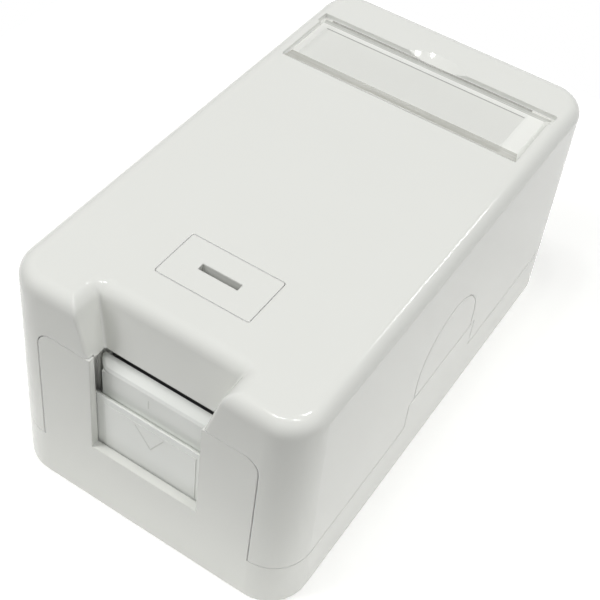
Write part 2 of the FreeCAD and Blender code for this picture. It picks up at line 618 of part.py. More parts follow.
def idc_contact(side, y):
    """Cutting contact: a flat fork whose slot bites through the wire's sleeve."""
    middle = FRONT + y
    x = side * IDC_X - 0.2
    fork = box(side * IDC_X - 0.2, side * IDC_X + 0.2, y - 1.05, y + 1.05, BOARD_Z1 + 0.02, BLOCK_TOP - 0.7)
    pin = box(side * IDC_X - 0.2, side * IDC_X + 0.2, y - 0.45, y + 0.45, BOARD_Z0 - 0.3, BOARD_Z1 + 0.1)
    mouth = Part.Face(outline([V(x, middle - 0.18, IDC_SLOT_LOW), V(x, middle + 0.18, IDC_SLOT_LOW),
                               V(x, middle + 0.18, BLOCK_TOP - 1.6), V(x, middle + 0.7, BLOCK_TOP),
                               V(x, middle - 0.7, BLOCK_TOP), V(x, middle - 0.18, BLOCK_TOP - 1.6)]))
    return fork.fuse(pin).cut(mouth.extrude(V(0.4, 0, 0))).removeSplitter()


def termination_cap():
    """Right-hand dust cap: a shallow lid over the block, with a rib that fills each wire slot."""
    y0, y1 = BLOCK_Y0 - 0.1, BLOCK_Y1 + 0.1
    lid = box(BLOCK_X0, BLOCK_X1 + 0.9, y0, y1, BLOCK_TOP + 0.05, CAP_TOP)
    lid = lid.cut(box(BLOCK_X0 + 0.9, BLOCK_X1, BLOCK_Y0 + 0.9, BLOCK_Y1 - 0.9, BLOCK_TOP, CAP_TOP - 0.9))
    skirt = box(BLOCK_X1 + 0.1, BLOCK_X1 + 0.9, y0, y1, BLOCK_TOP - 3, BLOCK_TOP + 0.5)
    lid = lid.fuse(skirt)
    for y in idc_places():
        for x0, x1 in ((BLOCK_X0, IDC_X - 0.4), (IDC_X + 0.4, BLOCK_X1)):
            half = IDC_SLOT / 2 - 0.06
            lid = lid.fuse(box(x0, x1, y - half, y + half, BLOCK_TOP - 2.2, CAP_TOP - 0.5))
    return lid.removeSplitter()


def mirrored(shape):
    return shape.mirror(V(0, 0, 0), V(1, 0, 0))


def nodes():
    """Every piece of the box, by name."""
    pieces = {
        "base": base(),
        "cover": cover(),
        "label_window": label_window(),
        "label_card": label_card(),
        "icon_insert": icon_insert(),
        "lower_shutter": lower_shutter(),
        "upper_shutter": upper_shutter(),
        "jack_housing": jack_housing(),
        "contact_carrier": contact_carrier(),
        "circuit_board": circuit_board(),
        "termination_block_right": termination_block(),
        "termination_block_left": mirrored(termination_block()),
        "termination_cap_right": termination_cap(),
        "termination_cap_left": mirrored(termination_cap()),
    }
    for number, x in enumerate(contact_places(), 1):
        pieces[f"contact_wire_{number}"] = contact_wire(x)
    places = [(side, y) for side in (-1, 1) for y in idc_places()]
    for number, (side, y) in enumerate(places, 1):
        pieces[f"idc_contact_{number}"] = idc_contact(side, y)
    return pieces


if __name__ == "__main__":
    os.makedirs("parts", exist_ok=True)
    for name, shape in nodes().items():
        print(name, shape.isValid(), len(shape.Solids), round(shape.Volume, 1))
        shape.exportStep(f"parts/{name}.step")
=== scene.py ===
import math

import bmesh
import bpy
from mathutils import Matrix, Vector


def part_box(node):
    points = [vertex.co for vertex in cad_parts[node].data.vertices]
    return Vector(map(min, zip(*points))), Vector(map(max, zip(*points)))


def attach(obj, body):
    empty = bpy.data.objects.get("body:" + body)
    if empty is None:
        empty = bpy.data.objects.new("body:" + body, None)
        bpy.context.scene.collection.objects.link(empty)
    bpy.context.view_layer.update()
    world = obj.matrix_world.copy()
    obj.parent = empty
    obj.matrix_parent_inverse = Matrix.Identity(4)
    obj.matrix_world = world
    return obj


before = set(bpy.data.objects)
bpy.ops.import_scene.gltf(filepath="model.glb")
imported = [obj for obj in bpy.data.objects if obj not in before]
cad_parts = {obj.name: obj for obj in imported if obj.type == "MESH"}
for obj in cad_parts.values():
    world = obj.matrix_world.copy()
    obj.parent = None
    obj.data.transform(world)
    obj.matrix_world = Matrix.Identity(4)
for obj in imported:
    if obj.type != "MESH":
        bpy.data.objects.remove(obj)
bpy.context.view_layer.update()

bl_info = {
    "name": "Surface mount jack box",
    "version": (1, 0, 0),
    "blender": (4, 5, 0),
    "location": "3D View > Sidebar > Jack box",
    "description": "Dresses the jack box with its plastics, metals, marks and studio",
    "category": "Object",
}

MM = 0.001

# Which nodes are made of what.
HOUSING_NODES = ("base", "cover")
SHUTTER_NODES = ("lower_shutter", "upper_shutter")
JACK_NODES = ("jack_housing", "termination_block_right", "termination_block_left",
              "termination_cap_right", "termination_cap_left")
SPRING_NODES = tuple(f"contact_wire_{number}" for number in range(1, 9))
CUTTING_NODES = tuple(f"idc_contact_{number}" for number in range(1, 9))

# Moulded plastic: clouding from the melt's flow, how far roughness varies, and where painted light goes into
# seams and painted shade onto the insert's slot.
FLOW_MM = 14.0
FLOW_SHADE = 0.975
ROUGHNESS_SPREAD = 0.02
# painted light in seams: ambient occlusion marks a seam, and the seam is then painted paler
SEAM_REACH = 0.35 * MM          # walls closer than this to a point make it part of a seam
SEAM_SKY = (0.2, 0.85)          # open sky inside a seam, and where the skin counts as open
SHADE_FADE = 0.05 * MM
SOFT_SAMPLES = 6

# Clear window: how level a face is where bevel ends and plate begins, how far turned to the sides
# a face of an end wall is, and how much the streaked bevels are painted with shade and the end walls with
# light.
BEVEL_LEVEL = (0.95, 0.99)
END_FACING = 0.3
STREAK_PAINTED_SHADE = (0.5, 0.8)
END_PAINTED_LIGHT = 0.7
GLOSS_ROUGHNESS = (0.03, 0.09)

# The arrow on the shutter: x from the box's middle, heights down from the leaves' top edges.
SHAFT_X = -0.8 * MM
SHAFT_DROP = 1.9 * MM
SHAFT_LENGTH = 1.4 * MM
HEAD_DROP = 1.4 * MM
HEAD_WINGS = (-2.0 * MM, 1.9 * MM)
TIP_X = 0.1 * MM
TIP_DROP = 4.4 * MM
MARK_HEIGHT = 0.015 * MM
MARK_TOP_SHARE = 0.6            # the stroke's flat top is this much of its width

# Soft boxes: name, direction from the box, width and height in metres, watts. The large ones stand
# for light that comes through a white tent, so nothing mirrors them. The strip draws the thin
# bright line along the top's right edge, and the small ones put glints on the round corners.
MIDDLE = Vector((0, 0, 0.015))
LAMP_DISTANCE = 0.9
TENT_LIGHT = 0.3                # lamps at least this wide shine through the tent
LAMPS = (
    ("Overhead", (-0.12, -0.12, 0.98), 0.7, 0.7, 2.15),
    ("Front left", (-0.60, -0.50, 0.60), 0.45, 0.45, 3.35),
    ("Front right", (0.60, -0.50, 0.60), 0.45, 0.45, 0.7),
    ("Right", (0.80, 0.10, 0.60), 0.45, 0.45, 2.7),
    ("Back right strip", (0.285, 0.66, 0.70), 0.025, 0.17, 0.32),
    ("Glint left", (-0.20, -0.18, 0.96), 0.07, 0.07, 0.45),
    ("Glint rear", (0.0, 0.40, 0.92), 0.08, 0.08, 0.35),
    ("Glint middle", (-0.08, -0.09, 0.99), 0.055, 0.055, 0.4),
    ("Glint right", (0.17, 0.01, 0.98), 0.075, 0.075, 0.5),
)
FLOOR_LIFT = 0.3                # what the floor adds to itself for the eye, so that it shows white
CAMERA_PLACE = (48.04 * MM, -95.86 * MM, 125.45 * MM)
CAMERA_TURN = (42.61, -5.28, 32.99)
SENSOR_WIDTH = 36.0

# A Mix node has a set of sockets for each kind of value. These are the ones for colours.
COLOUR_A, COLOUR_B, MIXED = 6, 7, 2

# Most of a noise texture's values lie between these.
NOISE_LOW, NOISE_HIGH = 0.3, 0.7


# --- Colour and node helpers ------------------------------------------------------------------
def linear(hex_colour):
    """A colour written as sRGB hex, as the linear RGBA that a shader socket takes."""
    channels = []
    for start in (1, 3, 5):
        value = int(hex_colour[start:start + 2], 16) / 255
        channels.append(value / 12.92 if value <= 0.04045 else ((value + 0.055) / 1.055) ** 2.4)
    return (*channels, 1.0)


WHITE = linear("#FFFFFF")


def darker(colour, share):
    """The same linear colour with this share of its light."""
    return [channel * share for channel in colour[:3]] + [1.0]


def add_node(tree, kind, inputs=None, **settings):
    """Adds one shader node, sets its own settings, and sets or links its input sockets."""
    node = tree.nodes.new(kind)
    for name, value in settings.items():
        setattr(node, name, value)
    for name, value in (inputs or {}).items():
        socket = node.inputs[name]
        if isinstance(value, bpy.types.NodeSocket):
            tree.links.new(value, socket)
        else:
            socket.default_value = value
    return node


def new_material(name):
    material = bpy.data.materials.new(name)
    material.use_nodes = True
    material.node_tree.nodes.clear()
    return material, material.node_tree


def finish_material(tree, surface):
    add_node(tree, "ShaderNodeOutputMaterial", {"Surface": surface})


def cells_per_metre(size_mm):
    """Noise scale that makes features about this big, in object coordinates that are metres."""
    return 1000.0 / size_mm


# --- Materials -----------------------------------------------------------------------------------
def painted_light_in_seams(tree, skin, seam_painted_light):
    """The skin's colour, painted towards white in narrow scores and seams: painted light that stands for
    the light wandering through pale plastic, set against the shade that falls in them."""
    sky = add_node(tree, "ShaderNodeAmbientOcclusion", {"Distance": SEAM_REACH}, samples=SOFT_SAMPLES)
    pale = add_node(tree, "ShaderNodeMapRange", {
        "Value": sky.outputs["AO"], "From Min": SEAM_SKY[0], "From Max": SEAM_SKY[1],
        "To Min": seam_painted_light, "To Max": 0.0})
    seams = add_node(tree, "ShaderNodeMix", {
        "Factor": pale.outputs["Result"], COLOUR_A: skin, COLOUR_B: WHITE}, data_type="RGBA")
    return seams.outputs[MIXED]


def painted_slot_shade(tree, skin, place, slot_painted_shade, slot_height):
    """The skin's colour, with painted shade on the walls of a slot: darker below this height."""
    height = add_node(tree, "ShaderNodeSeparateXYZ", {"Vector": place}).outputs["Z"]
    deep = add_node(tree, "ShaderNodeMapRange", {
        "Value": height, "From Min": slot_height - SHADE_FADE, "From Max": slot_height + SHADE_FADE,
        "To Min": 1.0, "To Max": 0.0})
    walls = add_node(tree, "ShaderNodeMix", {
        "Factor": deep.outputs["Result"], COLOUR_A: skin, COLOUR_B: slot_painted_shade}, data_type="RGBA")
    return walls.outputs[MIXED]


def moulded_plastic(name, colour, roughness, grain_mm, grain_depth_mm, edge_mm, ior=1.53,
                    seam_painted_light=0.0, slot_painted_shade=None, slot_height=0.0):
    """Injection-moulded plastic: a nearly even colour, a fine spark-eroded grain from the tool
    that breaks up reflections, faint clouding from the melt's flow, and edges that are never sharp.
    A real grain is some 0.05 mm wide, too fine to show, so each plastic draws it wider."""
    material, tree = new_material(name)
    place = add_node(tree, "ShaderNodeTexCoord").outputs["Object"]
    flow = add_node(tree, "ShaderNodeTexNoise", {
        "Vector": place, "Scale": cells_per_metre(FLOW_MM), "Detail": 2.0})
    clouding = add_node(tree, "ShaderNodeMix", {
        "Factor": flow.outputs["Fac"], COLOUR_A: darker(colour, FLOW_SHADE), COLOUR_B: colour},
        data_type="RGBA")
    skin = clouding.outputs[MIXED]
    # painted light: seams and scores drawn paler, against the shade that falls in them
    if seam_painted_light:
        skin = painted_light_in_seams(tree, skin, seam_painted_light)
    # painted shade: the slot's walls drawn darker below slot_height
    if slot_painted_shade is not None:
        skin = painted_slot_shade(tree, skin, place, slot_painted_shade, slot_height)
    grain = add_node(tree, "ShaderNodeTexNoise", {
        "Vector": place, "Scale": cells_per_metre(grain_mm), "Detail": 3.0})
    shine = add_node(tree, "ShaderNodeMapRange", {
        "Value": grain.outputs["Fac"], "From Min": NOISE_LOW, "From Max": NOISE_HIGH,
        "To Min": roughness - ROUGHNESS_SPREAD, "To Max": roughness + ROUGHNESS_SPREAD})
    soft_edge = add_node(tree, "ShaderNodeBevel", {"Radius": edge_mm * MM}, samples=SOFT_SAMPLES)
    relief = add_node(tree, "ShaderNodeBump", {
        "Height": grain.outputs["Fac"], "Distance": grain_depth_mm * MM, "Strength": 1.0,
        "Normal": soft_edge.outputs["Normal"]})
    shader = add_node(tree, "ShaderNodeBsdfPrincipled", {
        "Base Color": skin, "Roughness": shine.outputs["Result"], "IOR": ior,
        "Normal": relief.outputs["Normal"]})
    finish_material(tree, shader.outputs["BSDF"])
    return material


def bevel_share(tree, facing):
    """1 on the window's sloping edges, where painted shade goes, and 0 on its level plate."""
    level = add_node(tree, "ShaderNodeMath", {0: facing.outputs["Z"]}, operation="ABSOLUTE")
    slope = add_node(tree, "ShaderNodeMapRange", {
        "Value": level.outputs["Value"], "From Min": BEVEL_LEVEL[0], "From Max": BEVEL_LEVEL[1],
        "To Min": 1.0, "To Max": 0.0})
    return slope.outputs["Result"]


def end_share(tree, place, facing, slope, slip_low, slip_high):
    """1 on the window's end walls and on the plate past the slip's ends, where painted light goes, and 0
    elsewhere.
    """
    along_width = add_node(tree, "ShaderNodeSeparateXYZ", {"Vector": place}).outputs["X"]
    off_middle = add_node(tree, "ShaderNodeMath", {
        0: along_width, 1: (slip_low + slip_high) / 2}, operation="SUBTRACT")
    reach = add_node(tree, "ShaderNodeMath", {0: off_middle.outputs["Value"]}, operation="ABSOLUTE")
    past_slip = add_node(tree, "ShaderNodeMath", {
        0: reach.outputs["Value"], 1: (slip_high - slip_low) / 2}, operation="GREATER_THAN")
    flat_end = add_node(tree, "ShaderNodeMath", {
        0: past_slip.outputs["Value"], 1: slope}, operation="SUBTRACT", use_clamp=True)
    endward = add_node(tree, "ShaderNodeMath", {0: facing.outputs["X"]}, operation="ABSOLUTE")
    end_wall = add_node(tree, "ShaderNodeMath", {
        0: endward.outputs["Value"], 1: END_FACING}, operation="GREATER_THAN")
    at_end = add_node(tree, "ShaderNodeMath", {
        0: flat_end.outputs["Value"], 1: end_wall.outputs["Value"]}, operation="MAXIMUM")
    return at_end.outputs["Value"]


def clear_plate(tree, place, through):
    """The level plate: light goes straight through under a thin gloss, which lies on the outside of
    the skin alone and is a little rubbed by fingers, in patches 3 mm wide."""
    rubbed = add_node(tree, "ShaderNodeTexNoise", {
        "Vector": place, "Scale": cells_per_metre(3.0), "Detail": 3.0})
    shine = add_node(tree, "ShaderNodeMapRange", {
        "Value": rubbed.outputs["Fac"], "To Min": GLOSS_ROUGHNESS[0], "To Max": GLOSS_ROUGHNESS[1]})
    gloss = add_node(tree, "ShaderNodeBsdfGlossy", {"Roughness": shine.outputs["Result"]})
    skin = add_node(tree, "ShaderNodeFresnel", {"IOR": 1.3})
    inside = add_node(tree, "ShaderNodeNewGeometry").outputs["Backfacing"]
    outside = add_node(tree, "ShaderNodeMath", {0: 1.0, 1: inside}, operation="SUBTRACT")
    coat = add_node(tree, "ShaderNodeMath", {
        0: skin.outputs["Fac"], 1: outside.outputs["Value"]}, operation="MULTIPLY")
    plate = add_node(tree, "ShaderNodeMixShader", {
        0: coat.outputs["Value"], 1: through.outputs["BSDF"], 2: gloss.outputs["BSDF"]})
    return plate.outputs["Shader"]


def clear_plastic(name, colour, front_bevel_shade, rear_bevel_shade, end_wall_light, slip_low, slip_high):
    """Clear polystyrene, moulded in a polished tool. The level plate lets light straight through.
    The bevels along its two long edges bend the light away; that is painted shade, grey bands of matt
    colour, faintly streaked along the box's width where the melt ran, with streaks 0.5 mm wide. Past the
    slip's ends, at slip_low and slip_high along the width, the end walls and the plate are painted pale,
    painted light for the light that the end walls catch."""
    material, tree = new_material(name)
    coordinates = add_node(tree, "ShaderNodeTexCoord")
    place = coordinates.outputs["Object"]
    facing = add_node(tree, "ShaderNodeSeparateXYZ", {"Vector": coordinates.outputs["Normal"]})
    slope = bevel_share(tree, facing)
    at_end = end_share(tree, place, facing, slope, slip_low, slip_high)
    along = add_node(tree, "ShaderNodeMapping", {"Vector": place, "Scale": (0.04, 1.0, 1.0)})
    streaks = add_node(tree, "ShaderNodeTexNoise", {
        "Vector": along.outputs["Vector"], "Scale": cells_per_metre(0.5), "Detail": 2.0})
    streak_shade = add_node(tree, "ShaderNodeMapRange", {
        "Value": streaks.outputs["Fac"], "From Min": NOISE_LOW, "From Max": NOISE_HIGH,
        "To Min": STREAK_PAINTED_SHADE[0], "To Max": STREAK_PAINTED_SHADE[1]})
    bent = add_node(tree, "ShaderNodeMath", {0: streak_shade.outputs["Result"], 1: slope}, operation="MULTIPLY")
    pale = add_node(tree, "ShaderNodeMath", {0: at_end, 1: END_PAINTED_LIGHT}, operation="MULTIPLY")
    amount = add_node(tree, "ShaderNodeMath", {
        0: bent.outputs["Value"], 1: pale.outputs["Value"]}, operation="MAXIMUM")
    rearward = add_node(tree, "ShaderNodeMath", {
        0: facing.outputs["Y"], 1: 0.0}, operation="GREATER_THAN")
    bands = add_node(tree, "ShaderNodeMix", {
        "Factor": rearward.outputs["Value"], COLOUR_A: front_bevel_shade, COLOUR_B: rear_bevel_shade},
        data_type="RGBA")
    rim = add_node(tree, "ShaderNodeMix", {
        "Factor": at_end, COLOUR_A: bands.outputs[MIXED], COLOUR_B: end_wall_light}, data_type="RGBA")
    # painted shade on the bevels and painted light on the ends, as a matt colour
    painted_rim_shading = add_node(tree, "ShaderNodeBsdfDiffuse", {"Color": rim.outputs[MIXED]})
    through = add_node(tree, "ShaderNodeBsdfTransparent", {"Color": colour})
    seen = add_node(tree, "ShaderNodeMixShader", {
        0: amount.outputs["Value"], 1: clear_plate(tree, place, through), 2: painted_rim_shading.outputs["BSDF"]})
    # lamps, and light on its way from one matt surface to another, pass the window unhindered
    ray = add_node(tree, "ShaderNodeLightPath")
    lets_by = add_node(tree, "ShaderNodeMath", {
        0: ray.outputs["Is Shadow Ray"], 1: ray.outputs["Is Diffuse Ray"]}, operation="MAXIMUM")
    window = add_node(tree, "ShaderNodeMixShader", {
        0: lets_by.outputs["Value"], 1: seen.outputs["Shader"], 2: through.outputs["BSDF"]})
    finish_material(tree, window.outputs["Shader"])
    return material


def slip_paper(name, colour, bed_colour, rear_edge, edge_shade_width):
    """Uncoated paper, pressed from pulp: matt, with a faint mottle of fibres about 0.4 mm long. Along its
    rear edge a thin dark line of painted shade stands for the shadow where the slip's edge lies under
    the window, drawn wider than the paper is thick, and behind that line the paler bed of the bay shows."""
    material, tree = new_material(name)
    place = add_node(tree, "ShaderNodeTexCoord").outputs["Object"]
    long_way = add_node(tree, "ShaderNodeMapping", {"Vector": place, "Scale": (0.4, 1.0, 1.0)})
    pulp = add_node(tree, "ShaderNodeTexNoise", {
        "Vector": long_way.outputs["Vector"], "Scale": cells_per_metre(0.4), "Detail": 4.0})
    mottle = add_node(tree, "ShaderNodeMix", {
        "Factor": pulp.outputs["Fac"], COLOUR_A: darker(colour, 0.97), COLOUR_B: colour}, data_type="RGBA")
    depth = add_node(tree, "ShaderNodeSeparateXYZ", {"Vector": place}).outputs["Y"]
    behind = add_node(tree, "ShaderNodeMath", {0: depth, 1: rear_edge}, operation="GREATER_THAN")
    past_line = add_node(tree, "ShaderNodeMath", {
        0: depth, 1: rear_edge + edge_shade_width}, operation="GREATER_THAN")
    # painted shade: the thin dark line at the slip's rear edge
    cut = add_node(tree, "ShaderNodeMix", {
        "Factor": behind.outputs["Value"], COLOUR_A: mottle.outputs[MIXED],
        COLOUR_B: darker(colour, 0.45)}, data_type="RGBA")
    sheet = add_node(tree, "ShaderNodeMix", {
        "Factor": past_line.outputs["Value"], COLOUR_A: cut.outputs[MIXED], COLOUR_B: bed_colour},
        data_type="RGBA")
    relief = add_node(tree, "ShaderNodeBump", {"Height": pulp.outputs["Fac"], "Distance": 0.01 * MM})
    shader = add_node(tree, "ShaderNodeBsdfPrincipled", {
        "Base Color": sheet.outputs[MIXED], "Roughness": 0.9, "IOR": 1.45,
        "Normal": relief.outputs["Normal"]})
    finish_material(tree, shader.outputs["BSDF"])
    return material


def plated_metal(name, colour, roughness, line_mm):
    """Plated strip: bright metal with fine lines along it from the rolling mill. Real ones are some
    0.01 mm apart and are drawn wider, so that they show."""
    material, tree = new_material(name)
    place = add_node(tree, "ShaderNodeTexCoord").outputs["Object"]
    along = add_node(tree, "ShaderNodeMapping", {"Vector": place, "Scale": (1.0, 0.06, 0.06)})
    lines = add_node(tree, "ShaderNodeTexNoise", {
        "Vector": along.outputs["Vector"], "Scale": cells_per_metre(line_mm), "Detail": 2.0})
    tint = add_node(tree, "ShaderNodeMix", {
        "Factor": lines.outputs["Fac"], COLOUR_A: darker(colour, 0.85), COLOUR_B: colour}, data_type="RGBA")
    shine = add_node(tree, "ShaderNodeMapRange", {
        "Value": lines.outputs["Fac"], "To Min": roughness - 0.07, "To Max": roughness + 0.07})
    relief = add_node(tree, "ShaderNodeBump", {"Height": lines.outputs["Fac"], "Distance": 0.004 * MM})
    shader = add_node(tree, "ShaderNodeBsdfPrincipled", {
        "Base Color": tint.outputs[MIXED], "Roughness": shine.outputs["Result"], "Metallic": 1.0,
        "Normal": relief.outputs["Normal"]})
    finish_material(tree, shader.outputs["BSDF"])
    return material


def solder_mask(name, colour, track_colour, track_mm):
    """Glass-epoxy board under green lacquer: glossy, with copper tracks showing paler through it."""
    material, tree = new_material(name)
    place = add_node(tree, "ShaderNodeTexCoord").outputs["Object"]
    tracks = add_node(tree, "ShaderNodeTexWave", {
        "Vector": place, "Scale": cells_per_metre(track_mm) / (2 * math.pi), "Distortion": 3.0,
        "Detail": 0.0, "Detail Scale": 0.3}, wave_type="BANDS", bands_direction="X")
    edge = add_node(tree, "ShaderNodeMapRange", {
        "Value": tracks.outputs["Fac"], "From Min": 0.6, "From Max": 0.68})
    tint = add_node(tree, "ShaderNodeMix", {
        "Factor": edge.outputs["Result"], COLOUR_A: colour, COLOUR_B: track_colour}, data_type="RGBA")
    relief = add_node(tree, "ShaderNodeBump", {"Height": edge.outputs["Result"], "Distance": 0.03 * MM})
    shader = add_node(tree, "ShaderNodeBsdfPrincipled", {
        "Base Color": tint.outputs[MIXED], "Roughness": 0.22, "IOR": 1.52,
        "Normal": relief.outputs["Normal"]})
    finish_material(tree, shader.outputs["BSDF"])
    return material


def dress(names, material):
    for name in names:
        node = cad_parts[name]
        node.data.materials.clear()
        node.data.materials.append(material)


# --- Settings ------------------------------------------------------------------------------------
PICKER = {"subtype": "COLOR", "size": 4, "min": 0.0, "max": 1.0}


class HousingSettings(bpy.types.PropertyGroup):
    """Colour and grain of the cover, base and insert"""
    colour: bpy.props.FloatVectorProperty(
        name="Housing colour", description="Pigmented ABS of the housing", default=linear("#E5E6E1"),
        **PICKER)
    roughness: bpy.props.FloatProperty(
        name="Roughness", description="Mean roughness of the moulded skin", default=0.1, min=0.0, max=1.0,
        subtype="FACTOR")
    grain: bpy.props.FloatProperty(
        name="Grain", description="Width of a grain of the spark-eroded texture", default=1.2 * MM,
        unit="LENGTH")
    grain_depth: bpy.props.FloatProperty(
        name="Grain depth", description="Height of that grain", default=0.001 * MM, unit="LENGTH")
    edge: bpy.props.FloatProperty(
        name="Edge softness", description="Radius left on every edge by the tool", default=0.2 * MM,
        unit="LENGTH")
    # painted light: how far seams and scores are painted paler against their shade
    seam_painted_light: bpy.props.FloatProperty(
        name="Whitening", description="How far scores and seams go to white", default=0.9, min=0.0,
        max=1.0, subtype="FACTOR")
    slot_light: bpy.props.FloatProperty(
        name="Slot light", description="Depth to which light reaches down the insert's slot",
        default=0.12 * MM, unit="LENGTH")
    # painted shade on the slot's walls below the slot_light depth
    slot_painted_shade: bpy.props.FloatVectorProperty(
        name="Slot colour", description="Walls of the insert's slot below that depth",
        default=linear("#CDCEC9"), **PICKER)


class ShutterSettings(bpy.types.PropertyGroup):
    """Colour of the two leaves and of the arrow on them"""
    colour: bpy.props.FloatVectorProperty(
        name="Shutter colour", description="Whiter acetal of the leaves", default=linear("#F0F2EE"), **PICKER)
    # painted shade: the arrow's darker colour stands for the shade in an engraved groove
    arrow_painted_shade: bpy.props.FloatVectorProperty(
        name="Arrow colour", description="Shade of the shallow engraved arrow", default=linear("#D6D8D3"),
        **PICKER)
    line_width: bpy.props.FloatProperty(
        name="Line width", description="Width of the arrow's strokes", default=0.16 * MM, unit="LENGTH")


class LabelSettings(bpy.types.PropertyGroup):
    """Colours of the label slip and the window over it"""
    paper_colour: bpy.props.FloatVectorProperty(
        name="Paper colour", description="Uncoated label slip", default=linear("#E4E5E0"), **PICKER)
    window_colour: bpy.props.FloatVectorProperty(
        name="Window colour", description="Tint of the clear window", default=linear("#FEFEFE"), **PICKER)
    # painted shade on the window's bevels, and painted light on its ends
    front_bevel_shade: bpy.props.FloatVectorProperty(
        name="Front bevel colour", description="Bevel along the window's front edge",
        default=linear("#A8A8A0"), **PICKER)
    rear_bevel_shade: bpy.props.FloatVectorProperty(
        name="Rear bevel colour", description="Bevel along the window's rear edge",
        default=linear("#C6C7C1"), **PICKER)
    end_wall_light: bpy.props.FloatVectorProperty(
        name="End colour", description="Walls at the window's ends", default=linear("#F2F3EE"), **PICKER)
    bed_colour: bpy.props.FloatVectorProperty(
        name="Bed colour", description="Bay behind the slip", default=linear("#EDEEE9"), **PICKER)
    # the slip's dark edge line is painted shade
    slip_margin: bpy.props.FloatProperty(
        name="Slip margin", description="From the slip's dark edge line to the rear of the bay",
        default=0.2 * MM, unit="LENGTH")
    edge_shade_width: bpy.props.FloatProperty(
        name="Cut width", description="Width of the slip's dark edge line", default=0.2 * MM, unit="LENGTH")


class JackSettings(bpy.types.PropertyGroup):
    """Colours of the jack inside the box"""
    housing_colour: bpy.props.FloatVectorProperty(
        name="Jack colour", description="Jack housing and blocks", default=linear("#4B4C4E"), **PICKER)
    carrier_colour: bpy.props.FloatVectorProperty(
        name="Carrier colour", description="Contact carrier", default=linear("#26272A"), **PICKER)
    board_colour: bpy.props.FloatVectorProperty(
        name="Board colour", description="Solder mask of the board", default=linear("#1C5A33"), **PICKER)
    track_colour: bpy.props.FloatVectorProperty(
        name="Track colour", description="Tracks under the solder mask", default=linear("#3C8A4E"), **PICKER)
    track_pitch: bpy.props.FloatProperty(
        name="Track pitch", description="Spacing of the tracks", default=1.0 * MM, unit="LENGTH")
    gold_colour: bpy.props.FloatVectorProperty(
        name="Gold colour", description="Gold plating of the spring wires", default=linear("#E8C274"),
        **PICKER)
    tin_colour: bpy.props.FloatVectorProperty(
        name="Tin colour", description="Tin plating of the cutting contacts", default=linear("#D5D4CE"),
        **PICKER)


class StageSettings(bpy.types.PropertyGroup):
    """Floor, surround and lens"""
    floor_colour: bpy.props.FloatVectorProperty(
        name="Floor colour", description="Pale table", default=linear("#F4F4F2"), **PICKER)
    floor_size: bpy.props.FloatProperty(
        name="Floor size", description="Side of the square floor", default=0.16, unit="LENGTH")
    world_level: bpy.props.FloatProperty(
        name="World level", description="Even light from all round", default=0.05, min=0.0, max=1.0,
        subtype="FACTOR")
    lens: bpy.props.FloatProperty(
        name="Lens", description="Focal length on a 36 mm sensor", default=71.65, unit="CAMERA")


# --- Pieces --------------------------------------------------------------------------------------
def stroke(mesh, start, end, width, y):
    """A flat-topped bar between two (x, z) points, standing MARK_HEIGHT proud of the plane y."""
    along = Vector((end[0] - start[0], 0, end[1] - start[1]))
    side = Vector((-along.z, 0, along.x)).normalized() * width / 2
    corners = []
    for rise, share in ((0.0, 1.0), (MARK_HEIGHT, MARK_TOP_SHARE)):
        for point, sign in ((start, -1), (end, -1), (end, 1), (start, 1)):
            corners.append(mesh.verts.new(Vector((point[0], y - rise, point[1])) + side * sign * share))
    mesh.faces.new(corners[4:])
    mesh.faces.new(corners[3::-1])
    for number in range(4):
        after = (number + 1) % 4
        mesh.faces.new((corners[number], corners[after], corners[4 + after], corners[4 + number]))


def piece_from(mesh, name, material, body):
    bmesh.ops.recalc_face_normals(mesh, faces=mesh.faces)
    data = bpy.data.meshes.new(name)
    mesh.to_mesh(data)
    mesh.free()
    data.materials.append(material)
    piece = bpy.data.objects.new(name, data)
    bpy.context.collection.objects.link(piece)
    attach(piece, body)


class JACKBOX_OT_housing(bpy.types.Operator):
    """Give the cover, the base and the icon insert their moulded ABS"""
    bl_idname = "jackbox.housing"
    bl_label = "Housing"

    def execute(self, context):
        settings = context.scene.jackbox_housing
        look = {
            "colour": settings.colour, "roughness": settings.roughness, "grain_mm": settings.grain / MM,
            "grain_depth_mm": settings.grain_depth / MM, "edge_mm": settings.edge / MM,
            "seam_painted_light": settings.seam_painted_light}
        dress(HOUSING_NODES, moulded_plastic("ABS, injection moulded, fine spark texture", **look))
        insert_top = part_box("icon_insert")[1][2]
        # the insert's slot walls get painted shade
        dress(("icon_insert",), moulded_plastic(
            "ABS, injection moulded, slotted insert", **look, slot_painted_shade=settings.slot_painted_shade,
            slot_height=insert_top - settings.slot_light))
        return {"FINISHED"}


